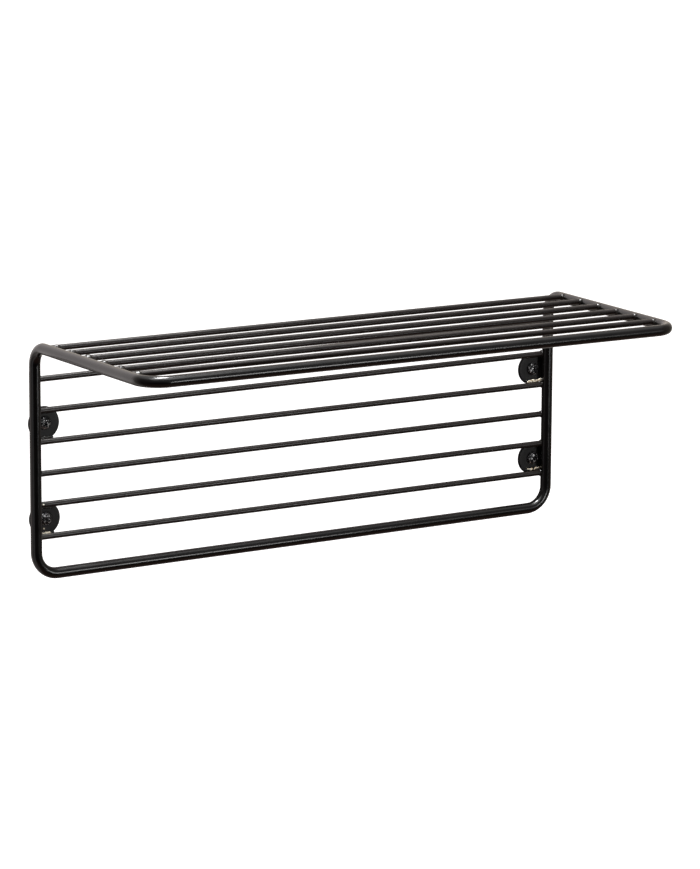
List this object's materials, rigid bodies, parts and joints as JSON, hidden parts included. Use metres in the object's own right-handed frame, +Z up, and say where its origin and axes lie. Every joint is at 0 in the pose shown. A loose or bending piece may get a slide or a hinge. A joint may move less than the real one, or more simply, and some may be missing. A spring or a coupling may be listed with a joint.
{
  "type": "wall-mounted wire rack",
  "caption": "Wall rack of bent round bar: a shelf and a back grid of thin welded rods in one L-shaped frame, held by round screwed plates.",
  "frame": {"origin": "on the wall plane, at the centre of the rectangle of the four fixing screws", "axes": "+X along the wall to the right as seen from the room, +Y into the wall, +Z up; the shelf reaches out along -Y"},
  "size_m": [0.5706, 0.237, 0.2214],
  "materials": {
    "frame_coat": "semi-gloss black powder coat on 10 mm steel bar",
    "rod_coat": "semi-gloss black powder coat on 5 mm steel rod",
    "plate_coat": "matt black powder coat on 3 mm steel plate",
    "screw_zinc": "black zinc plated steel, worn bright on its edges"
  },
  "bodies": {
    "root": {"frame_loop": "frame_coat", "shelf_rod_1": "rod_coat", "shelf_rod_2": "rod_coat", "shelf_rod_3": "rod_coat", "shelf_rod_4": "rod_coat", "shelf_rod_5": "rod_coat", "shelf_rod_6": "rod_coat", "back_rod_1": "rod_coat", "back_rod_2": "rod_coat", "back_rod_3": "rod_coat", "back_rod_4": "rod_coat", "back_rod_5": "rod_coat", "back_rod_6": "rod_coat", "wall_plate_upper_left": "plate_coat", "wall_plate_lower_left": "plate_coat", "wall_plate_upper_right": "plate_coat", "wall_plate_lower_right": "plate_coat", "screw_upper_left": "screw_zinc", "screw_lower_left": "screw_zinc", "screw_upper_right": "screw_zinc", "screw_lower_right": "screw_zinc"}
  },
  "joints": []
}
